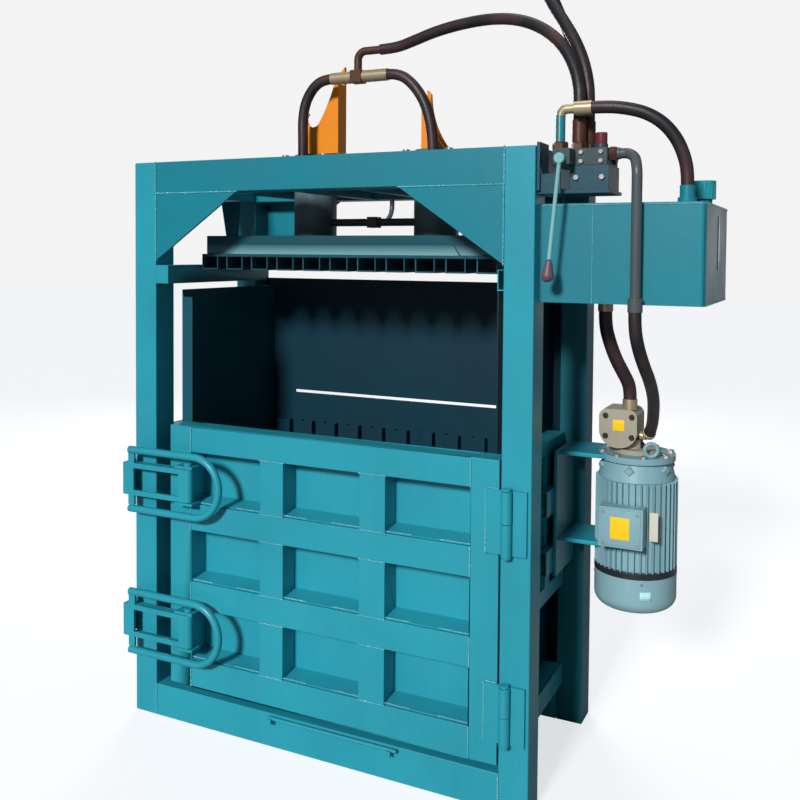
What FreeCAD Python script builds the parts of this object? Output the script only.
"""Vertical recycling baler with twin telescopic cylinders, side tank and hand lever valve.

Millimetres. +X is to the right of a person standing at the door, +Y goes to the back,
+Z is up. The origin is on the floor at the middle of the frame's footprint.
"""
import FreeCAD
import Part
import math
import os

V = FreeCAD.Vector

# ---- driving dimensions ----------------------------------------------------
frame_width = 1500.0        # over the corner posts, left to right
frame_depth = 720.0         # over the corner posts, front to back
frame_height = 2000.0       # floor to top of the posts

post_width = 95.0           # corner post, along X
post_depth = 100.0          # corner post, along Y
tube_wall = 6.0             # wall of every box section in the frame
beam_height = 110.0         # top beams
sill_height = 115.0         # bottom beams
gusset_run = 350.0          # corner gussets, along the beam
gusset_drop = 240.0         # corner gussets, down the post
gusset_thickness = 10.0

sheet = 6.0                 # chamber walls, floor and back
wall_inset = 140.0          # frame side to outer face of a chamber wall
wall_lip = 46.0             # lip along the front edge of the left chamber wall
wall_front = 90.0           # frame front to the lip's front face
wall_back = 690.0           # frame front to the face of the rear wall
wall_top = 1568.0           # top of the right wall, under the top rail
wall_top_left = 1545.0      # the left wall stops short and leaves a sight slot
lip_top = 1518.0
skirt_bottom = 71.0
rail_depth = 65.0           # side rails, across X
rail_levels = ((133.0, 208.0), (501.0, 556.0), (1006.0, 1050.0))
top_rail_height = 66.0
top_rail_depth = 75.0
slit_bottom = 1099.0        # cord slit across the rear wall
slit_height = 11.0
slit_left = 155.0           # from the rear wall's edges to the ends of the slit
slit_right = 65.0
rear_wall_top = 1575.0

strap_pitch = 108.4         # tying channels in the platen, floor and rear wall
strap_count = 11
strap_width = 72.0
strap_wall = 5.0
floor_rib_height = 40.0
floor_bearer = 80.0         # width and height of the bearers under the floor
bearer_spread = 400.0       # outer bearers, each side of the middle one
slat_depth = 30.0
slat_top = 985.0
slat_width = 60.0

platen_side_gap = 26.0      # each side, to the chamber wall
platen_front = 165.0        # frame front to the comb
platen_rear_gap = 10.0      # platen to the rear slats
comb_bottom = 1618.0
comb_height = 47.0
platen_sheet = 10.0
platen_rim_height = 67.0
platen_rim_depth = 50.0
platen_rim_setback = 25.0   # rim behind the comb's front ends
platen_rim_inset = 2.0
apron_margin = 132.0        # ends of the sloping apron, in from the rim's ends
apron_rise = 36.0
apron_slant = 26.0          # its ends lean in this much
lug_inset = 62.0            # lifting lugs, in from the rim's ends
platen_travel = 900.0

cylinder_offset = 250.0     # each side of the middle
cylinder_y = 430.0          # behind the frame front
barrel_radius = 80.0
barrel_bore = 68.0
outer_sleeve_radius = 60.0
outer_sleeve_bore = 50.0
inner_sleeve_radius = 42.0
inner_sleeve_bore = 33.0
rod_radius = 26.0
slide_gap = 0.4             # all round every sliding sleeve
gland_length = 20.0
collar_length = 15.0
barrel_over_mount = 37.0    # top of the barrel above the mount plate
barrel_cap = 20.0
stage_step = 4.0            # each stage ends this much lower than the one around it
mount_drop = 14.0           # bearers' tops below the frame's top
mount_thickness = 25.0
mount_half_depth = 100.0
mount_overhang = 160.0
flange_half = 100.0
flange_thickness = 25.0
bearer_inner = 110.0        # cylinder axis to the near side of a bearer
bearer_width = 40.0
bracket_plate = 14.0        # yellow head brackets: cheek and web thickness
bracket_front = 370.0       # frame front to the front cheek
bracket_depth = 62.0        # over both cheeks
bracket_edge_left = -120.0  # straight edge of the left bracket
bracket_edge_right = 215.0  # straight edge of the right bracket
bracket_height_left = 266.0
bracket_height_right = 158.0
bracket_rear_rise = 56.0    # the rear cheeks stand higher than the front ones
bracket_foot = 88.0         # flare of a cheek at its foot
bracket_horn = 139.0        # reach of the horn on the tall front cheek
bolt_spread = 82.0
bolt_radius = 8.0
bolt_head_radius = 13.0
bolt_head = 10.0
hole_gap = 0.5

door_gap_hinge = 5.0        # door to the right post
door_gap_latch = 65.0       # door to the left post
door_bottom = 138.0
door_top = 1066.0
door_depth = 80.0
door_stile = 92.0
door_mullion = 93.0
door_rails = ((138.0, 238.0), (420.0, 515.0), (699.0, 793.0), (976.0, 1066.0))
ledge_rise = 16.0
hinge_pin_inset = 70.0      # pin axis, in from the frame's right side
hinge_pin_out = 20.0        # pin axis, in front of the frame
hinge_pin_radius = 10.0
knuckle_radius = 17.0
hinge_spans = ((215.0, 392.0), (787.0, 981.0))
leaf_thickness = 12.0
leaf_reach_door = 69.0
leaf_reach_post = 60.0
pin_gap = 0.3

latch_levels = (350.0, 865.0)
latch_pin_x = 262.0         # from the frame's left side
latch_pin_out = 28.0
latch_pin_radius = 10.0
latch_half_height = 58.0
latch_front = 46.0          # front of the hook, in front of the frame
latch_clear = 12.0          # hook to the post's front
latch_side_clear = 9.0      # hook to the post's outer side
latch_plate = 9.0
latch_window = (30.0, 232.0, 18.0)  # left and right ends, and height of its rails
latch_wrap = 35.0           # hook's end, back along the post's side
bail_radius = 106.0         # half the height of the U-shaped handle
bail_bar = 13.0
bail_centre_x = 298.0
bail_left_x = 12.0
bail_out = 45.0

tank_front = 60.0
tank_length = 470.0
tank_depth = 490.0
tank_below_top = 460.0      # underside of the tank, below the frame's top
tank_height = 292.0
tank_sheet = 4.0
tank_lid = 6.0
cap_radius = 36.0
cap_height = 55.0
neck_height = 20.0

motor_x = 201.0             # motor axis, to the right of the frame's side
motor_y = 518.0             # motor axis, behind the frame front
motor_radius = 120.0
fin_height = 14.0
fin_thickness = 3.2
fin_count = 40
motor_top = 1025.0
motor_bottom = 515.0
motor_joint = 634.0         # top of the fan cowl
motor_flange_radius = 125.0
motor_wall = 14.0           # wall of the motor's frame, inside its fins
stator_fit = 0.3            # stator to frame
stator_thickness = 36.7
air_gap = 1.0               # rotor to stator
cowl_sheet = 3.0
blade_clear = 26.0          # fan blades to the cowl
blade_count = 8
terminal_left = 84.0        # terminal box, each way from the motor's axis
terminal_right = 58.0
terminal_span = (746.0, 876.0)
cowl_round = 40.0           # rounding of the fan cowl's closed end
adapter_height = 15.0       # round adapter between the motor and the pump
adapter_radius = 72.0
shaft_radius = 19.0
shaft_gap = 0.05            # running clearance all round a turning shaft
pump_left = 111.0           # pump casting, each way from the motor's axis
pump_right = 14.0
pump_front = 77.0
pump_back = 42.0
pump_height = 134.0
pump_belly = 58.0           # rounding of the casting's lower edges
pump_shoulder = 26.0        # and of its upper edges

valve_below_top = 142.0     # underside of the valve's shelf, below the frame's top
valve_block_height = 82.0   # shelf's underside to the top of the block on it
valve_height = 50.0
valve_left = 40.0           # valve casting, from the frame's side
valve_right = 200.0
valve_front = 45.0          # behind the frame front
valve_depth = 130.0
return_port_x = 56.0        # tank line's port, from the frame's side
lever_length = 300.0
lever_out = 30.0            # lever in front of the frame
lever_knob = 19.0
spool_radius = 11.7
spool_bore = 12.0
hose_radius = 18.5
suction_radius = 21.5       # the wider hose from the tank down to the pump
ferrule_wall = 2.5          # crimped sleeve on a hose's end, over the hose
pipe_radius = 15.0          # steel delivery pipe beside the valve
feed_pipe_radius = 9.0      # steel pipe to the cylinders' lower ports
elbow_radius = 14.0
nut_radius = 19.0
nut_height = 22.0
tee_half = 22.0             # half the size of the tee between the cylinders
port_half = 22.0            # half the width of a cylinder's upper port block
port_block_height = 40.0
port_below_top = 25.0       # top of the port blocks, below the frame's top
port_level = 1795.0         # lower ports of the cylinders
rear_block_half = 28.0      # block at the rear corner where the return line lands
rear_block_height = 44.0
boss_radius = 26.0          # boss on the tank's lid
boss_height = 14.0
seat_gap = 0.2              # between a weld-on block and a round barrel

# ---- places worked out from them -------------------------------------------
left = -frame_width / 2
right = frame_width / 2
front = -frame_depth / 2
back = frame_depth / 2
inner_left = left + wall_inset + sheet
inner_right = right - wall_inset - sheet
rear_face = front + wall_back
cylinder_axis_y = front + cylinder_y
mount_seat = frame_height - mount_drop
mount_top = mount_seat + mount_thickness
platen_left = inner_left + platen_side_gap
platen_right = inner_right - platen_side_gap
platen_back = rear_face - slat_depth - platen_rear_gap
platen_floor = comb_bottom + comb_height + platen_sheet
barrel_top = mount_top + barrel_over_mount
barrel_bottom = platen_floor + 15.0
tank_bottom = frame_height - tank_below_top
valve_shelf = frame_height - valve_below_top
valve_block_top = valve_shelf + valve_block_height
valve_top = valve_block_top + valve_height
port_block_top = frame_height - port_below_top
ferrule_radius = hose_radius + ferrule_wall
frame_bore = motor_radius - motor_wall
stator_radius = frame_bore - stator_fit
stator_bore = stator_radius - stator_thickness
cowl_radius = motor_radius + fin_height
blade_reach = cowl_radius - cowl_sheet - blade_clear


def box(x0, x1, y0, y1, z0, z1):
    return Part.makeBox(x1 - x0, y1 - y0, z1 - z0, V(x0, y0, z0))


def rod_between(start, end, radius):
    way = end - start
    return Part.makeCylinder(radius, way.Length, start, way)


def upright(x, y, z0, z1, radius):
    return Part.makeCylinder(radius, z1 - z0, V(x, y, z0))


def tube(x, y, z0, z1, outer, inner):
    return upright(x, y, z0, z1, outer).cut(upright(x, y, z0, z1, inner))


def prism(points, direction):
    """A flat outline pushed along a direction."""
    outline = Part.makePolygon([V(*p) for p in points + points[:1]])
    return Part.Face(outline).extrude(V(*direction))


def box_section(x0, x1, y0, y1, z0, z1, axis, wall=tube_wall):
    """A rectangular tube whose open ends face along axis."""
    gaps = [wall, wall, wall]
    gaps["XYZ".index(axis)] = 0.0
    gx, gy, gz = gaps
    outer = box(x0, x1, y0, y1, z0, z1)
    return outer.cut(box(x0 + gx, x1 - gx, y0 + gy, y1 - gy, z0 + gz, z1 - gz))


def capped_post(x0, x1, y0, y1, z0, z1, wall=tube_wall):
    """A rectangular tube standing up, with a plate welded over each end."""
    outer = box(x0, x1, y0, y1, z0, z1)
    return outer.cut(box(x0 + wall, x1 - wall, y0 + wall, y1 - wall, z0 + wall, z1 - wall))


def save(node, shapes):
    """One STEP file for a node; its separate solids stay separate."""
    solids = []
    for shape in shapes:
        solids += shape.Solids
    Part.makeCompound(solids).exportStep("parts/" + node + ".step")
    volume = sum(s.Volume for s in solids) / 1e6
    print(f"{node}: {len(solids)} solid(s), {volume:.3f} litres")


def frame_posts():
    for name, y0 in (("front", front), ("rear", back - post_depth)):
        posts = [capped_post(x, x + post_width, y0, y0 + post_depth, 0, frame_height)
                 for x in (left, right - post_width)]
        save("posts_" + name, posts)


def frame_beams():
    x0 = left + post_width
    x1 = right - post_width
    top = frame_height
    long_beams = [box_section(x0, x1, y, y + post_depth, top - beam_height, top, "X")
                  for y in (front, back - post_depth)]
    save("top_beams_long", long_beams)
    y0 = front + post_depth
    y1 = back - post_depth
    side_beams = [box_section(x, x + post_width, y0, y1, top - beam_height, top, "Y")
                  for x in (left, right - post_width)]
    save("top_beams_side", side_beams)
    sills = [box_section(x0, x1, y, y + post_depth, 0, sill_height, "X")
             for y in (front, back - post_depth)]
    save("sills", sills)


def corner_gussets():
    under = frame_height - beam_height
    plates = []
    for y in (front, back - gusset_thickness):
        for post_side, way in ((left + post_width, 1), (right - post_width, -1)):
            corner = [(post_side, y, under), (post_side + way * gusset_run, y, under),
                      (post_side, y, under - gusset_drop)]
            plates.append(prism(corner, (0, gusset_thickness, 0)))
    save("corner_gussets", plates)


def side_rails():
    y0 = front + post_depth
    y1 = back - post_depth
    rails = []
    for way, wall in ((-1, left + wall_inset), (1, right - wall_inset)):
        for z0, z1 in rail_levels:
            x0, x1 = sorted((wall, wall + way * rail_depth))
            rails.append(box_section(x0, x1, y0, y1, z0, z1, "Y", 4.0))
        inner = wall - way * (top_rail_depth - rail_depth)
        x0, x1 = sorted((inner, wall + way * rail_depth))
        z0 = wall_top
        rails.append(box_section(x0, x1, y0, y1, z0, z0 + top_rail_height, "Y", 4.0))
    x0, x1 = left + post_width, left + wall_inset + top_rail_depth - rail_depth
    z0, z1 = wall_top, wall_top + top_rail_height
    stub = box(x0, x1, front, y0, z0, z1)
    rails.append(stub.cut(box(x0 + 4, x1 - 4, front + 4, y0 - 4, z0 + 4, z1 - 4)))
    save("side_rails", rails)


def chamber_walls():
    y0 = front + wall_front
    for name, outer, way, top in (("left", left + wall_inset, 1, wall_top_left),
                                  ("right", right - wall_inset, -1, wall_top)):
        x0, x1 = sorted((outer, outer + way * sheet))
        wall = box(x0, x1, y0, rear_face, sill_height, top)
        skirt = box(x0, x1, front + post_depth, back - post_depth,
                    skirt_bottom, sill_height)
        wall = wall.fuse(skirt)
        if name == "left":
            wall = wall.fuse(box(outer, outer + wall_lip, y0, y0 + sheet,
                                 sill_height, lip_top))
        save("wall_" + name, [wall.removeSplitter()])
    x0 = left + post_width
    x1 = right - post_width
    rear = box(x0, x1, rear_face, rear_face + sheet, sill_height, rear_wall_top)
    slit = box(x0 + slit_left, x1 - slit_right, rear_face, rear_face + sheet,
               slit_bottom, slit_bottom + slit_height)
    save("rear_wall", [rear.cut(slit)])


def strap_left_edges(width):
    """Left edges of the tying channels, spread about the middle of the chamber."""
    first = -(strap_count - 1) * strap_pitch / 2 - width / 2
    return [first + i * strap_pitch for i in range(strap_count)]


def channel_up(x0, width, y0, y1, z0, z1, wall):
    """A U channel with its open side up."""
    outer = box(x0, x0 + width, y0, y1, z0, z1)
    return outer.cut(box(x0 + wall, x0 + width - wall, y0, y1, z0 + wall, z1))


def floor_and_slats():
    y0 = front + wall_front
    plate = box(inner_left, inner_right, y0 + sheet, rear_face,
                sill_height, sill_height + sheet)
    save("floor_plate", [plate])
    z0 = sill_height + sheet
    ribs = []
    for x0 in strap_left_edges(strap_width):
        outer = box(x0, x0 + strap_width, y0 + 10, rear_face - slat_depth,
                    z0, z0 + floor_rib_height)
        hollow = box(x0 + strap_wall, x0 + strap_width - strap_wall, y0 + 10,
                     rear_face - slat_depth, z0, z0 + floor_rib_height - strap_wall)
        ribs.append(outer.cut(hollow))
    save("floor_ribs", ribs)
    slats = []
    for x0 in strap_left_edges(slat_width):
        outer = box(x0, x0 + slat_width, rear_face - slat_depth, rear_face, z0, slat_top)
        hollow = box(x0 + strap_wall, x0 + slat_width - strap_wall,
                     rear_face - slat_depth + strap_wall, rear_face, z0, slat_top)
        slats.append(outer.cut(hollow))
    save("rear_slats", slats)
    bearer_depth = frame_depth - 2 * post_depth
    bearers = []
    for x, z0 in ((-bearer_spread, sill_height - floor_bearer), (0.0, 0.0),
                  (bearer_spread, sill_height - floor_bearer)):
        half = floor_bearer / 2
        bearers.append(box_section(x - half, x + half, front + post_depth,
                                   front + post_depth + bearer_depth,
                                   z0, sill_height, "Y"))
    save("floor_bearers", bearers)


def cylinder_axes():
    return [V(side * cylinder_offset, cylinder_axis_y, 0) for side in (-1, 1)]


def bolt_places(axis):
    return [(axis.x + i * bolt_spread, axis.y + j * bolt_spread)
            for i in (-1, 1) for j in (-1, 1)]


def cylinder_mount():
    top = mount_seat
    under = frame_height - beam_height
    bearers = []
    for axis in cylinder_axes():
        for side in (-1, 1):
            near = axis.x + side * bearer_inner
            x0, x1 = sorted((near, near + side * bearer_width))
            bearers.append(box_section(x0, x1, front + post_depth, back - post_depth,
                                       under, top, "Y"))
    save("cylinder_bearers", bearers)
    half = cylinder_offset + mount_overhang
    plate = box(-half, half, cylinder_axis_y - mount_half_depth,
                cylinder_axis_y + mount_half_depth, top, mount_top)
    bolts = []
    z0 = mount_top + flange_thickness
    for axis in cylinder_axes():
        plate = plate.cut(upright(axis.x, axis.y, top, mount_top,
                                  barrel_radius + hole_gap))
        for x, y in bolt_places(axis):
            plate = plate.cut(upright(x, y, top, mount_top, bolt_radius + hole_gap))
            shank = upright(x, y, top, z0, bolt_radius)
            head = upright(x, y, z0, z0 + bolt_head, bolt_head_radius)
            bolts.append(shank.fuse(head))
    save("mount_plate", [plate])
    save("flange_bolts", bolts)


def sleeve(axis, z0, z1, radius, bore, inner_radius, inner_fit, collar):
    """A telescopic stage: a tube with a gland at the foot and a collar at the head."""
    body = tube(axis.x, axis.y, z0 + gland_length, z1, radius, bore)
    gland = tube(axis.x, axis.y, z0, z0 + gland_length, radius, inner_radius + inner_fit)
    shapes = [gland]
    if collar:
        shapes.append(tube(axis.x, axis.y, z1 - collar_length, z1, collar, bore))
    return body.fuse(shapes).removeSplitter()


def cylinders():
    outer_top = barrel_top - barrel_cap - 2.0
    barrels = []
    outers = []
    inners = []
    rods = []
    for axis in cylinder_axes():
        barrel = sleeve(axis, barrel_bottom, barrel_top - barrel_cap, barrel_radius,
                        barrel_bore, outer_sleeve_radius, slide_gap, None)
        cap = upright(axis.x, axis.y, barrel_top - barrel_cap, barrel_top, barrel_radius)
        flange = box(axis.x - flange_half, axis.x + flange_half, axis.y - flange_half,
                     axis.y + flange_half, mount_top, mount_top + flange_thickness)
        flange = flange.cut(upright(axis.x, axis.y, mount_top,
                                    mount_top + flange_thickness, barrel_radius - 1))
        for x, y in bolt_places(axis):
            flange = flange.cut(upright(x, y, mount_top, mount_top + flange_thickness,
                                        bolt_radius + hole_gap))
        barrels.append(barrel.fuse([cap, flange]).removeSplitter())
        outers.append(sleeve(axis, barrel_bottom - stage_step, outer_top,
                             outer_sleeve_radius, outer_sleeve_bore,
                             inner_sleeve_radius, slide_gap, barrel_bore - slide_gap))
        inners.append(sleeve(axis, barrel_bottom - 2 * stage_step, outer_top - stage_step,
                             inner_sleeve_radius, inner_sleeve_bore, rod_radius,
                             slide_gap, outer_sleeve_bore - slide_gap))
        rod_top = outer_top - 2 * stage_step
        rod = upright(axis.x, axis.y, platen_floor, rod_top, rod_radius)
        piston = upright(axis.x, axis.y, rod_top - collar_length, rod_top,
                         inner_sleeve_bore - slide_gap)
        rods.append(rod.fuse(piston))
    save("cylinder_barrels", barrels)
    save("outer_sleeves", outers)
    save("inner_sleeves", inners)
    save("piston_rods", rods)


def flared_cheek(edge_x, way, base, top):
    """Face of a cheek: a straight inner edge and an edge that flares to the foot."""
    def at_z(outward, z):
        return V(edge_x + way * outward, 0, z)
    edges = [
        Part.LineSegment(at_z(0, base), at_z(0, top)).toShape(),
        Part.LineSegment(at_z(0, top), at_z(16, top - 16)).toShape(),
        Part.Arc(at_z(16, top - 16), at_z(0.6 * bracket_foot, base + 52),
                 at_z(bracket_foot, base)).toShape(),
        Part.LineSegment(at_z(bracket_foot, base), at_z(0, base)).toShape(),
    ]
    return Part.Face(Part.Wire(edges))


def horned_cheek(edge_x, way, base, top):
    """Face of the tall front cheek, with a round notch and an outer horn."""
    def at_z(outward, z):
        return V(edge_x + way * outward, 0, z)
    notch = [at_z(20, top - 22), at_z(47, base + 177), at_z(79, base + 118),
             at_z(104, base + 100), at_z(125, base + 150)]
    horn_tip = at_z(bracket_horn, base + 154)
    edges = [
        Part.LineSegment(at_z(0, base), at_z(0, top)).toShape(),
        Part.LineSegment(at_z(0, top), notch[0]).toShape(),
        Part.Arc(*notch[:3]).toShape(),
        Part.Arc(*notch[2:]).toShape(),
        Part.LineSegment(notch[4], horn_tip).toShape(),
        Part.LineSegment(horn_tip, at_z(bracket_horn, base)).toShape(),
        Part.LineSegment(at_z(bracket_horn, base), at_z(0, base)).toShape(),
    ]
    return Part.Face(Part.Wire(edges))


def cylinder_brackets():
    base = barrel_top
    thick = bracket_plate
    y0 = front + bracket_front
    y1 = y0 + bracket_depth
    brackets = []
    for front_face, edge_x, way, height in (
            (horned_cheek, bracket_edge_left, -1, bracket_height_left),
            (flared_cheek, bracket_edge_right, 1, bracket_height_right)):
        cheeks = []
        for face, y, top in ((front_face, y0, base + height),
                             (flared_cheek, y1 - thick, base + height + bracket_rear_rise)):
            cheek = face(edge_x, way, base, top).extrude(V(0, thick, 0))
            cheek.translate(V(0, y, 0))
            cheeks.append(cheek)
        x0, x1 = sorted((edge_x, edge_x + way * thick))
        web = box(x0, x1, y0 + thick, y1 - thick, base, base + height - 12)
        brackets.append(cheeks[0].fuse([cheeks[1], web]).removeSplitter())
    save("cylinder_brackets", brackets)


def platen():
    y0 = front + platen_front
    z0 = comb_bottom
    z1 = comb_bottom + comb_height
    comb = [channel_up(x, strap_width, y0, platen_back, z0, z1, strap_wall)
            for x in strap_left_edges(strap_width)]
    save("platen_comb", comb)
    plate = box(platen_left, platen_right, y0, platen_back, z1, platen_floor)
    save("platen_plate", [plate])
    rim_front = y0 + platen_rim_setback
    rim_left = platen_left + platen_rim_inset
    rim_right = platen_right - platen_rim_inset
    z2 = platen_floor + platen_rim_height
    deep = platen_rim_depth
    rails = [box_section(rim_left, rim_right, y, y + deep, platen_floor, z2, "X", 5.0)
             for y in (rim_front, platen_back - deep)]
    rails += [box_section(x, x + deep, rim_front + deep, platen_back - deep,
                          platen_floor, z2, "Y", 5.0)
              for x in (rim_left, rim_right - deep)]
    low_left, low_right = rim_left + apron_margin, rim_right - apron_margin
    apron = Part.makeWedge(low_left, 0, -rim_front, -rim_front, low_left + apron_slant,
                           low_right, apron_rise, -(y0 + 4), -(rim_front - 8),
                           low_right - apron_slant)
    apron.rotate(V(0, 0, 0), V(1, 0, 0), 90)
    apron.translate(V(0, 0, platen_floor))
    rails.append(apron)
    for side, x in ((1, rim_left + lug_inset), (-1, rim_right - lug_inset)):
        y = rim_front + 4
        lug = [(x + side * 22, y, z2), (x + side * 70, y, z2),
               (x + side * 84, y, z2 + 125), (x, y, z2 + 125)]
        rails.append(prism(lug, (0, 12, 0)))
    save("platen_rails", rails)


def door_spans():
    """The door's left and right edges, and the pockets between its uprights."""
    x0 = left + post_width + door_gap_latch
    x1 = right - post_width - door_gap_hinge
    pocket = (x1 - x0 - 2 * door_stile - 2 * door_mullion) / 3
    pockets = []
    x = x0 + door_stile
    for _ in range(3):
        pockets.append((x, x + pocket))
        x += pocket + door_mullion
    return x0, x1, pockets


def door():
    x0, x1, pockets = door_spans()
    y0 = front
    y1 = front + door_depth
    save("door_skin", [box(x0, x1, y1, y1 + sheet, door_bottom, door_top)])
    grid = [capped_post(x, x + door_stile, y0, y1, door_bottom, door_top, 5.0)
            for x in (x0, x1 - door_stile)]
    for z0, z1 in door_rails:
        grid.append(box_section(x0 + door_stile, x1 - door_stile, y0, y1, z0, z1, "X", 5.0))
    for (z0, z1), (z2, z3) in zip(door_rails, door_rails[1:]):
        for (a, b), (c, d) in zip(pockets, pockets[1:]):
            grid.append(box_section(b, c, y0, y1, z1, z2, "Z", 5.0))
        for a, b in pockets:
            ledge = [(a, y0 + 8, z1), (a, y1, z1), (a, y1, z1 + ledge_rise), (a, y0 + 8, z1 + 4)]
            grid.append(prism(ledge, (b - a, 0, 0)))
    save("door_frame", grid)


def hinges():
    x, y = right - hinge_pin_inset, front - hinge_pin_out
    bore = hinge_pin_radius + pin_gap
    door_leaves = []
    post_hinges = []
    for z0, z1 in hinge_spans:
        middle = (z0 + z1) / 2
        knuckle = tube(x, y, middle + 1, z1, knuckle_radius, bore)
        leaf = box(x - leaf_reach_door, x - bore - 1, front - leaf_thickness, front,
                   z0, z1)
        clear = upright(x, y, z0, middle + 1, knuckle_radius + 2)
        door_leaves.append(knuckle.fuse(leaf.cut(clear)).cut(
            box(right - post_width - door_gap_hinge, x, front - 1, front, z0, z1)
        ).removeSplitter())
        knuckle = tube(x, y, z0, middle - 1, knuckle_radius, bore)
        leaf = box(x + bore + 1, x + leaf_reach_post, front - leaf_thickness, front, z0, z1)
        clear = upright(x, y, middle - 1, z1, knuckle_radius + 2)
        post_hinges.append(knuckle.fuse(leaf.cut(clear)).removeSplitter())
        pin = upright(x, y, z0 - 4, z1 + 4, hinge_pin_radius)
        head = upright(x, y, z1 + 1, z1 + 8, hinge_pin_radius + 4)
        foot = upright(x, y, z0 - 8, z0, hinge_pin_radius + 4)
        post_hinges.append(pin.fuse([head, foot]))
    save("door_hinge_leaves", door_leaves)
    save("post_hinges", post_hinges)


def latches():
    pin_x, pin_y = left + latch_pin_x, front - latch_pin_out
    y_front = front - latch_front
    y_rear = front - latch_clear
    x_end = left - latch_side_clear - latch_plate
    x_pin_side = pin_x - 4
    pivots = []
    for name, level in zip(("lower", "upper"), latch_levels):
        z0, z1 = level - latch_half_height, level + latch_half_height
        cheek = box(x_end, x_pin_side, y_front, y_front + latch_plate, z0, z1)
        window_left, window_right, rail = latch_window
        cheek = cheek.cut(box(left + window_left, left + window_right,
                              y_front, y_front + latch_plate, z0 + rail, z1 - rail))
        flanges = [box(x_end, x_pin_side, y_front, y_rear, z, z + latch_plate)
                   for z in (z0, z1 - latch_plate)]
        side = box(x_end, x_end + latch_plate, y_front, front + latch_wrap, z0, z1)
        knuckle = upright(pin_x, pin_y, z0, z1, latch_pin_radius + 8)
        tabs = [box(left + 6, left + 34, y_front, y_front + latch_plate, a, b)
                for a, b in ((z1, level + bail_radius - bail_bar),
                             (level - bail_radius + bail_bar, z0))]
        hook = cheek.fuse(flanges + [side, knuckle] + tabs)
        hook = hook.cut(upright(pin_x, pin_y, z0, z1, latch_pin_radius + pin_gap))
        save("latch_hook_" + name, [hook.removeSplitter()])
        y = front - bail_out
        start = V(left + bail_left_x, y, level + bail_radius)
        bend = V(left + bail_centre_x, y, level + bail_radius)
        tip = V(left + bail_centre_x + bail_radius, y, level)
        low = V(left + bail_centre_x, y, level - bail_radius)
        end = V(left + bail_left_x, y, level - bail_radius)
        path = Part.Wire([Part.LineSegment(start, bend).toShape(),
                          Part.Arc(bend, tip, low).toShape(),
                          Part.LineSegment(low, end).toShape()])
        ring = Part.Wire([Part.makeCircle(bail_bar, start, V(1, 0, 0))])
        save("latch_handle_" + name, [path.makePipeShell([ring], True, False)])
        for z in (z1 + 2, z0 - 2 - latch_plate):
            ear = box(pin_x - 47, pin_x + 28, front - 46, front, z, z + latch_plate)
            pivots.append(ear.cut(upright(pin_x, pin_y, z, z + latch_plate,
                                          latch_pin_radius + pin_gap)))
        pin = upright(pin_x, pin_y, z0 - 16, z1 + 16, latch_pin_radius)
        pin_head = upright(pin_x, pin_y, z1 + 2 + latch_plate, z1 + 22, latch_pin_radius + 4)
        pivots.append(pin.fuse(pin_head).removeSplitter())
    save("latch_pivots", pivots)


def sill_bar():
    y = front - 16
    z = 108.0
    bar = rod_between(V(-165, y, z), V(322, y, z), 6)
    hooks = []
    for x in (-150.0, 298.0):
        hook = box(x - 8, x + 8, y - 14, front, z - 16, z - 6)
        hook = hook.fuse(box(x - 8, x + 8, y - 14, y - 8, z - 16, z + 2))
        hooks.append(hook.removeSplitter())
    save("sill_bar", [bar] + hooks)


def oil_tank():
    x0, x1 = right, right + tank_length
    y0, y1 = front + tank_front, front + tank_front + tank_depth
    z0, z1 = tank_bottom, tank_bottom + tank_height - tank_lid
    t = tank_sheet
    shell = box(x0, x1, y0, y1, z0, z1)
    upright_edges = [e for e in shell.Edges
                     if abs(e.Vertexes[0].Z - e.Vertexes[-1].Z) > 1 and e.Vertexes[0].X > x0]
    shell = shell.makeFillet(14, upright_edges)
    shell = shell.cut(box(x0 + t, x1 - t, y0 + t, y1 - t, z0 + t, z1))
    save("tank_shell", [shell])
    cap_x = x1 - 45.0
    cap_y = y0 + 270.0
    lid = box(x0, x1, y0, y1, z1, z1 + tank_lid)
    lid_edges = [e for e in lid.Edges
                 if abs(e.Vertexes[0].Z - e.Vertexes[-1].Z) > 1 and e.Vertexes[0].X > x0]
    lid = lid.makeFillet(14, lid_edges)
    top = z1 + tank_lid
    neck = upright(cap_x, cap_y, top, top + neck_height, 26)
    lid = lid.fuse(neck).cut(upright(cap_x, cap_y, z1, top + neck_height, 21))
    save("tank_lid", [lid.removeSplitter()])
    cap = upright(cap_x, cap_y, top + neck_height, top + neck_height + cap_height, cap_radius)
    for i in range(16):
        turn = 2 * math.pi * i / 16
        groove = upright(cap_x + (cap_radius + 1) * math.cos(turn),
                         cap_y + (cap_radius + 1) * math.sin(turn),
                         top + neck_height, top + neck_height + cap_height - 8, 3.5)
        cap = cap.cut(groove)
    plug = upright(cap_x, cap_y, top, top + neck_height, 20.4)
    save("filler_cap", [cap.fuse(plug)])


def motor_mount():
    x0 = right - 75.0
    axis_x, axis_y = right + motor_x, front + motor_y
    pieces = []
    for z0, z1 in ((615.0, 700.0), (812.0, 898.0)):
        outer = box(x0, x0 + 25, front + 330, back - post_depth, z0, z1)
        hollow = box(x0, x0 + 20, front + 330, back - post_depth, z0 + 6, z1 - 6)
        pieces.append(outer.cut(hollow))
    low, high = rail_levels[1][1], rail_levels[2][0]
    wall = right - wall_inset
    pieces.append(box_section(wall, wall + rail_depth, front + 400, front + 450,
                              low, high, "Z", 4.0))
    plate_x = x0 + 25
    pieces.append(box(plate_x, plate_x + 12, front + 400, back - post_depth,
                      600, motor_top))
    for z0, radius in ((motor_top - 16, 125.3), (716.0, motor_radius + fin_height + 0.3)):
        arm = box(plate_x + 12, axis_x - 40, axis_y - 95, axis_y + 95, z0, z0 + 14)
        pieces.append(arm.cut(upright(axis_x, axis_y, z0, z0 + 14, radius)))
    save("motor_mount", pieces)


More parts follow.
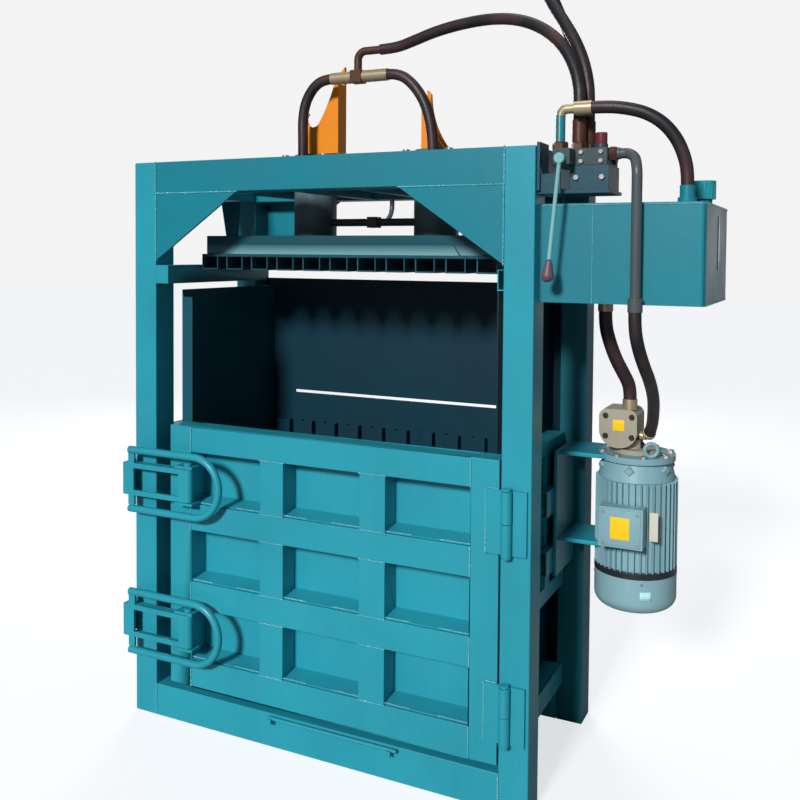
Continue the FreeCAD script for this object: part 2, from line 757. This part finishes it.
def finned_outline(x, y, z):
    """Round body with straight cooling fins, as one closed outline."""
    root = math.asin(fin_thickness / 2 / motor_radius)
    tip = 0.8 * root
    tip_radius = motor_radius + fin_height
    points = []
    for i in range(fin_count):
        turn = 2 * math.pi * i / fin_count
        for angle, radius in ((turn - root, motor_radius), (turn - tip, tip_radius),
                              (turn + tip, tip_radius), (turn + root, motor_radius)):
            points.append((x + radius * math.cos(angle), y + radius * math.sin(angle), z))
    return points


def motor():
    x, y = right + motor_x, front + motor_y
    low, high = motor_joint + 12, motor_top - 80
    shaft_bore = shaft_radius + shaft_gap
    frame = prism(finned_outline(x, y, low), (0, 0, high - low))
    frame = frame.cut(upright(x, y, low, high, frame_bore))
    flange = upright(x, y, motor_top - 20, motor_top, motor_flange_radius)
    shield = Part.makeCone(motor_flange_radius + 1, 112, 60, V(x, y, high))
    top_shield = flange.fuse(shield).cut(upright(x, y, high, motor_top, shaft_bore))
    top_shield = top_shield.cut(upright(x, y, high, motor_top - 35, 80)).removeSplitter()
    bottom = tube(x, y, motor_joint, low, cowl_radius, shaft_bore)
    stator = tube(x, y, low + 50, high - 50, stator_radius, stator_bore)
    save("motor_frame", [frame, top_shield, bottom, stator])
    fan_z = motor_bottom + 62
    core = upright(x, y, low + 60, high - 60, stator_bore - air_gap)
    shaft = upright(x, y, fan_z, motor_top + 12, shaft_radius)
    hub = tube(x, y, fan_z, fan_z + 30, 32, shaft_bore)
    blades = []
    for i in range(blade_count):
        blade = box(31, blade_reach, -2, 2, 0, 30)
        blade.rotate(V(0, 0, 0), V(0, 0, 1), i * 360 / blade_count)
        blade.translate(V(x, y, fan_z))
        blades.append(blade)
    save("motor_rotor", [shaft.fuse(core).removeSplitter(),
                         hub.fuse(blades).removeSplitter()])
    cowl = upright(x, y, motor_bottom, motor_joint, cowl_radius)
    cowl = cowl.makeFillet(cowl_round, [
        e for e in cowl.Edges if abs(e.BoundBox.ZMax - motor_bottom) < 0.1])
    inner_floor = motor_bottom + cowl_sheet
    hollow = upright(x, y, inner_floor, motor_joint, cowl_radius - cowl_sheet)
    cowl = cowl.cut(hollow.makeFillet(cowl_round - cowl_sheet, [
        e for e in hollow.Edges if abs(e.BoundBox.ZMax - inner_floor) < 0.1]))
    for ring_radius in (38.0, 66.0):
        ring = tube(x, y, motor_bottom, inner_floor, ring_radius + 6, ring_radius - 6)
        spokes = []
        for i in range(4):
            spoke = box(-4, 4, -100, 100, motor_bottom, inner_floor)
            spoke.rotate(V(0, 0, 0), V(0, 0, 1), i * 45)
            spoke.translate(V(x, y, 0))
            spokes.append(spoke)
        cowl = cowl.cut(ring.cut(spokes[0].fuse(spokes[1:])))
    save("fan_cowl", [cowl])
    z0, z1 = terminal_span
    terminal = box(x - terminal_left, x + terminal_right, y - motor_radius - 60, y - 60,
                   z0, z1)
    terminal = terminal.cut(upright(x, y, z0, z1, motor_radius + fin_height + 0.5))
    save("terminal_box", [terminal.Solids[0]])


def pump():
    x, y = right + motor_x, front + motor_y
    z0 = motor_top + adapter_height
    z1 = z0 + pump_height
    body = box(x - pump_left, x + pump_right, y - pump_front, y + pump_back, z0 + 6, z1)
    low = [e for e in body.Edges if abs(e.Vertexes[0].Y - e.Vertexes[-1].Y) > 1
           and e.Vertexes[0].Z < z0 + 20]
    body = body.makeFillet(pump_belly, low)
    top = [e for e in body.Edges if abs(e.Vertexes[0].Y - e.Vertexes[-1].Y) > 1
           and min(v.Z for v in e.Vertexes) > z1 - 1]
    body = body.makeFillet(pump_shoulder, top)
    neck = upright(x - 30, y, motor_top, z0 + 30, adapter_radius - 22)
    adapter = upright(x, y, motor_top, z0, adapter_radius)
    casting = body.fuse([adapter, neck]).cut(upright(x, y, motor_top, z0 + 28, 26))
    casting = casting.cut(upright(x, y, z0 + 28, z0 + 40, 15 + shaft_gap))
    save("pump", [casting.removeSplitter()])
    shaft = upright(x, y, motor_top + 12.5, z0 + 39.5, 15)
    coupling = upright(x, y, motor_top + 2, z0 + 15, 24)
    coupling = coupling.cut(upright(x, y, motor_top + 2, motor_top + 12.2,
                                    shaft_radius + shaft_gap))
    save("pump_coupling", [shaft.fuse(coupling).removeSplitter()])


def stem_and_knob(top, down, length, stem, radius):
    """A round stem that ends in a pear-shaped knob, turned as one profile."""
    out = V(0, 1, 0)

    def spot(r, s):
        return top + down * s + out * r
    neck = length - 6
    middle = length + 1.9 * radius
    end = middle + radius
    half = math.sqrt(0.5)
    edges = [
        Part.LineSegment(spot(0, 0), spot(stem, 0)).toShape(),
        Part.LineSegment(spot(stem, 0), spot(stem, neck)).toShape(),
        Part.LineSegment(spot(stem, neck), spot(0.5 * radius, neck)).toShape(),
        Part.LineSegment(spot(0.5 * radius, neck), spot(radius, middle)).toShape(),
        Part.Arc(spot(radius, middle), spot(half * radius, middle + half * radius),
                 spot(0, end)).toShape(),
        Part.LineSegment(spot(0, end), spot(0, 0)).toShape(),
    ]
    return Part.Face(Part.Wire(edges)).revolve(top, down, 360)


def valve():
    x0 = right
    y0 = front + valve_front
    z0 = valve_shelf + 10
    shelf = box(x0, x0 + 212, front + 22, front + 178, valve_shelf, z0)
    side = box(x0, x0 + 10, front + 10, front + 100, z0, frame_height + 10)
    plate = box(x0 + 10, x0 + 68, front + 22, front + 30, z0, z0 + 50)
    block = box(x0 + 90, x0 + 205, y0 - 5, y0 + 125, z0, valve_block_top)
    save("valve_mount", [shelf.fuse([side, plate]).removeSplitter(), block])
    body = box(x0 + valve_left, x0 + valve_right, y0, y0 + valve_depth,
               valve_block_top, valve_top)
    body = body.makeFillet(6, [e for e in body.Edges
                               if abs(e.Vertexes[0].Z - e.Vertexes[-1].Z) > 1])
    body = body.fuse(box(x0 + 55, x0 + 105, front - 14, y0, valve_block_top, valve_top - 4))
    spool_y, spool_z = y0 + 80, (valve_block_top + valve_top) / 2

    def along(first, last, radius):
        return rod_between(V(x0 + first, spool_y, spool_z), V(x0 + last, spool_y, spool_z),
                           radius)
    relief_x, relief_y = x0 + 176, y0 + 20
    seat = upright(relief_x, relief_y, valve_top, valve_top + 12, 19)
    bore = along(valve_left, valve_right, spool_bore)
    body = body.fuse(seat).cut(bore).removeSplitter()
    spool = along(valve_left + 12, valve_right - 12, spool_radius)
    for first in (75.0, 115.0, 150.0):
        spool = spool.cut(along(first, first + 12, spool_radius).cut(
            along(first, first + 12, 8)))
    save("valve_spool", [spool])
    caps = [along(valve_left, valve_left - 22, nut_radius),
            along(valve_right, valve_right + 8, nut_radius)]
    save("valve_body", [body] + caps)
    lever_x, lever_z = x0 + 80, valve_block_top + 16
    y = front - lever_out
    hub = rod_between(V(lever_x, y - 8, lever_z), V(lever_x, y + 15.7, lever_z), 15)
    foot = V(lever_x - 28, y, lever_z - lever_length)
    down = (foot - V(lever_x, y, lever_z)).normalize()
    stem = stem_and_knob(V(lever_x, y, lever_z), down, lever_length, 6, lever_knob)
    save("valve_lever", [hub.fuse(stem)])
    save("relief_cap", [upright(relief_x, relief_y, valve_top + 12.3, valve_top + 44, 17)])


def tube_path(points):
    """Straight runs joined by tangent arcs as large as the two runs allow."""
    edges = []
    radii = []
    here = points[0]
    for before, corner, after in zip(points, points[1:], points[2:]):
        way_in = corner - before
        way_out = after - corner
        shorter = min(way_in.Length, way_out.Length)
        turn = way_in.getAngle(way_out)
        setback = 0.45 * shorter
        radii.append(setback / math.tan(turn / 2))
        way_in.normalize()
        way_out.normalize()
        start = corner - way_in * setback
        end = corner + way_out * setback
        centre_way = way_out - way_in
        centre_way.normalize()
        bulge = radii[-1] / math.cos(turn / 2) - radii[-1]
        edges.append(Part.LineSegment(here, start).toShape())
        edges.append(Part.Arc(start, corner + centre_way * bulge, end).toShape())
        here = end
    edges.append(Part.LineSegment(here, points[-1]).toShape())
    return Part.Wire(edges), radii


def across(x):
    """X of a route's point; the span between cylinders and tank takes up a wider frame."""
    if x <= route_inner:
        return x - route_middle
    if x >= route_side:
        return right + x - route_side
    near = route_inner - route_middle
    return near + (right - near) * (x - route_inner) / (route_side - route_inner)


def lifted(z):
    """Height of a route's point; the span under the tank takes up a taller frame."""
    rise = frame_height - route_top
    return z + rise * min(max((z - route_low) / (route_high - route_low), 0.0), 1.0)


def at(x, y, z):
    return V(across(x), front + y, lifted(z))


def hose(node, route, radius=hose_radius):
    points = [at(*point) for point in route]
    wire, radii = tube_path(points)
    ring = Part.Wire([Part.makeCircle(radius, points[0], points[1] - points[0])])
    solid = wire.makePipeShell([ring], True, False)
    ideal = math.pi * radius ** 2 * wire.Length
    print(f"  {node}: length {wire.Length:.0f}, volume ratio {solid.Volume / ideal:.4f},"
          f" tightest radius {min(radii):.0f}, radii {[round(r) for r in radii]}")
    save(node, [solid])


# Hose routes: x from the frame's left side, y from its front, z from the floor, all for
# a frame whose middle, cylinders, right side and top lie at these places.
route_middle = 750.0
route_inner = 1100.0
route_side = 1500.0
route_top = 2000.0
route_low = 1210.0
route_high = 1500.0
route_a = [(840, 300, 2392), (900, 300, 2392), (974, 288, 2408), (1065, 274, 2429),
           (1170, 260, 2441), (1276, 240, 2441), (1376, 214, 2422), (1464, 186, 2379),
           (1532, 156, 2318), (1576, 131, 2246), (1597, 112, 2178), (1600, 106, 2128),
           (1600, 106, 2080)]
route_b = [(1616, 150, 2080), (1616, 150, 2130), (1613, 154, 2192), (1594, 168, 2264),
           (1560, 190, 2336), (1515, 220, 2404), (1466, 255, 2474), (1424, 300, 2545),
           (1394, 365, 2596), (1380, 445, 2610), (1386, 525, 2572), (1405, 585, 2506),
           (1431, 622, 2430), (1453, 643, 2352), (1470, 652, 2276), (1478, 655, 2205),
           (1480, 652, 2150), (1480, 652, 2100)]
route_t = [(1650, 60, 2107), (1690, 60, 2107), (1742, 63, 2101), (1799, 71, 2086),
           (1847, 81, 2056), (1882, 92, 2012), (1902, 102, 1964), (1911, 110, 1918),
           (1911, 110, 1880)]
route_left = [(644, 300, 2304), (606, 300, 2304), (564, 300, 2276), (533, 300, 2226),
              (522, 300, 2162), (524, 300, 2090), (524, 300, 2036)]
route_right = [(869, 300, 2304), (910, 300, 2304), (964, 300, 2266), (1008, 300, 2204),
               (1032, 300, 2132), (1042, 300, 2060), (1042, 300, 2005)]
route_suction = [(1621, 380, 1500), (1621, 380, 1455), (1634, 390, 1398), (1651, 412, 1340),
                 (1671, 442, 1290), (1686, 466, 1248), (1686, 466, 1208)]
route_pressure = [(1786, 32, 1520), (1786, 32, 1474), (1792, 56, 1416), (1799, 104, 1362),
                  (1803, 180, 1308), (1799, 266, 1246), (1784, 348, 1184),
                  (1766, 424, 1128), (1752, 462, 1104)]


def elbow(start, corner, end, radius):
    wire, radii = tube_path([start, corner, end])
    ring = Part.Wire([Part.makeCircle(radius, start, corner - start)])
    return wire.makePipeShell([ring], True, False)


def fittings():
    made = []
    start = at(*route_a[0])
    tee = at(route_middle, 300, route_left[0][2])
    made.append(box(tee.x - tee_half, tee.x + tee_half, tee.y - tee_half, tee.y + tee_half,
                    tee.z - tee_half, tee.z + tee_half))
    for route, side in ((route_left, -1), (route_right, 1)):
        made.append(rod_between(tee + V(side * tee_half, 0, 0), at(*route[0]),
                                ferrule_radius))
    made.append(elbow(tee + V(0, 0, tee_half), V(tee.x, tee.y, start.z), start, elbow_radius))
    for end in (at(*route_a[-1]), at(*route_b[0])):
        nut = upright(end.x, end.y, valve_top, valve_top + nut_height, nut_radius)
        made.append(nut.fuse(upright(end.x, end.y, valve_top + nut_height, end.z,
                                     ferrule_radius)))
    end = at(*route_t[0])
    cuff = end - V(52, 0, 0)
    port = V(right + return_port_x, end.y, valve_top)
    made.append(elbow(port, V(port.x, port.y, end.z), cuff, elbow_radius))
    made.append(rod_between(cuff, end, ferrule_radius))
    end = at(*route_t[-1])
    lid_top = tank_bottom + tank_height
    boss = upright(end.x, end.y, lid_top, lid_top + boss_height, boss_radius)
    made.append(boss.fuse(upright(end.x, end.y, lid_top + boss_height, end.z,
                                  ferrule_radius)))
    suction_ferrule = suction_radius + ferrule_wall
    end = at(*route_suction[0])
    made.append(upright(end.x, end.y, end.z, tank_bottom, suction_ferrule))
    end = at(*route_suction[-1])
    pump_top = motor_top + adapter_height + pump_height
    made.append(upright(end.x, end.y, pump_top, end.z, suction_ferrule))
    z0 = port_block_top - port_block_height
    for route, side in ((route_left, -1), (route_right, 1)):
        end = at(*route[-1])
        ferrule = rod_between(end, V(end.x, end.y, port_block_top), ferrule_radius)
        block = box(end.x - port_half, end.x + port_half, end.y - port_half,
                    cylinder_axis_y, z0, port_block_top)
        block = block.cut(upright(side * cylinder_offset, cylinder_axis_y, z0,
                                  port_block_top, barrel_radius + seat_gap))
        made.append(ferrule.fuse(block.Solids[0]).removeSplitter())
    before, last = at(*route_pressure[-2]), at(*route_pressure[-1])
    knee = last + (last - before) * 0.75
    port = V(right + motor_x + pump_right, knee.y, knee.z)
    way = (last - before).normalize()
    ferrule = rod_between(last, last + way * 16, ferrule_radius)
    made.append(ferrule.fuse(elbow(last + way * 8, knee, port, elbow_radius)
                             ).removeSplitter())
    end = at(*route_b[-1])
    block_top = frame_height + rear_block_height
    half = rear_block_half
    made.append(box(end.x - half, end.x + half, end.y - half, end.y + half,
                    frame_height, block_top))
    made.append(upright(end.x, end.y, block_top, end.z, ferrule_radius))
    save("hose_fittings", made)


def delivery_pipe():
    """Steel pipe from the valve's side port, over and down to the hose to the pump."""
    z = (valve_block_top + valve_top) / 2 + 8
    y = front + valve_front + 27
    end = at(*route_pressure[0])
    start = V(right + valve_right + 30, y, z)
    nut = rod_between(start - V(30, 0, 0), start, 17)
    bend = [start, V(end.x - 34, y, z), V(end.x - 10, (y + end.y) / 2, z - 14),
            V(end.x, end.y, z - 50), V(end.x, end.y, z - 110)]
    wire, _ = tube_path(bend)
    ring = Part.Wire([Part.makeCircle(pipe_radius, start, V(1, 0, 0))])
    cuff_top = end + V(0, 0, 40)
    return nut.fuse([wire.makePipeShell([ring], True, False),
                     rod_between(bend[-1], cuff_top, pipe_radius),
                     rod_between(cuff_top, end, ferrule_radius)]).removeSplitter()


def lower_feed():
    """Steel pipe from the rear block, down behind the beam, to both lower ports."""
    block = at(*route_b[-1])
    z = frame_height + rear_block_height / 2
    y = block.y
    drop_y = y - 72
    start = V(block.x - rear_block_half, y, z)
    wire, _ = tube_path([start, V(60, y, z), V(0, y - 40, z), V(0, drop_y, z - 4),
                         V(0, drop_y - 4, z - 60), V(0, drop_y, port_level + 40),
                         V(0, drop_y - 60, port_level),
                         V(0, cylinder_axis_y + 20, port_level)])
    ring = Part.Wire([Part.makeCircle(feed_pipe_radius, start, V(-1, 0, 0))])
    tee = box(-20, 20, cylinder_axis_y - 20, cylinder_axis_y + 20,
              port_level - 20, port_level + 20)
    reach = cylinder_offset - barrel_radius - seat_gap
    arms = [rod_between(V(side * 20, cylinder_axis_y, port_level),
                        V(side * reach, cylinder_axis_y, port_level), elbow_radius)
            for side in (-1, 1)]
    return wire.makePipeShell([ring], True, False).fuse([tee] + arms).removeSplitter()


os.makedirs("parts", exist_ok=True)
frame_posts()
frame_beams()
corner_gussets()
side_rails()
chamber_walls()
floor_and_slats()
cylinder_mount()
cylinders()
cylinder_brackets()
platen()
door()
hinges()
latches()
sill_bar()
oil_tank()
motor_mount()
motor()
pump()
valve()
fittings()
save("steel_pipes", [delivery_pipe(), lower_feed()])
hose("hose_cylinder_feed", route_a)
hose("hose_return_line", route_b)
hose("hose_tank", route_t)
hose("hose_cylinder_left", route_left)
hose("hose_cylinder_right", route_right)
hose("hose_suction", route_suction, suction_radius)
hose("hose_pressure", route_pressure)
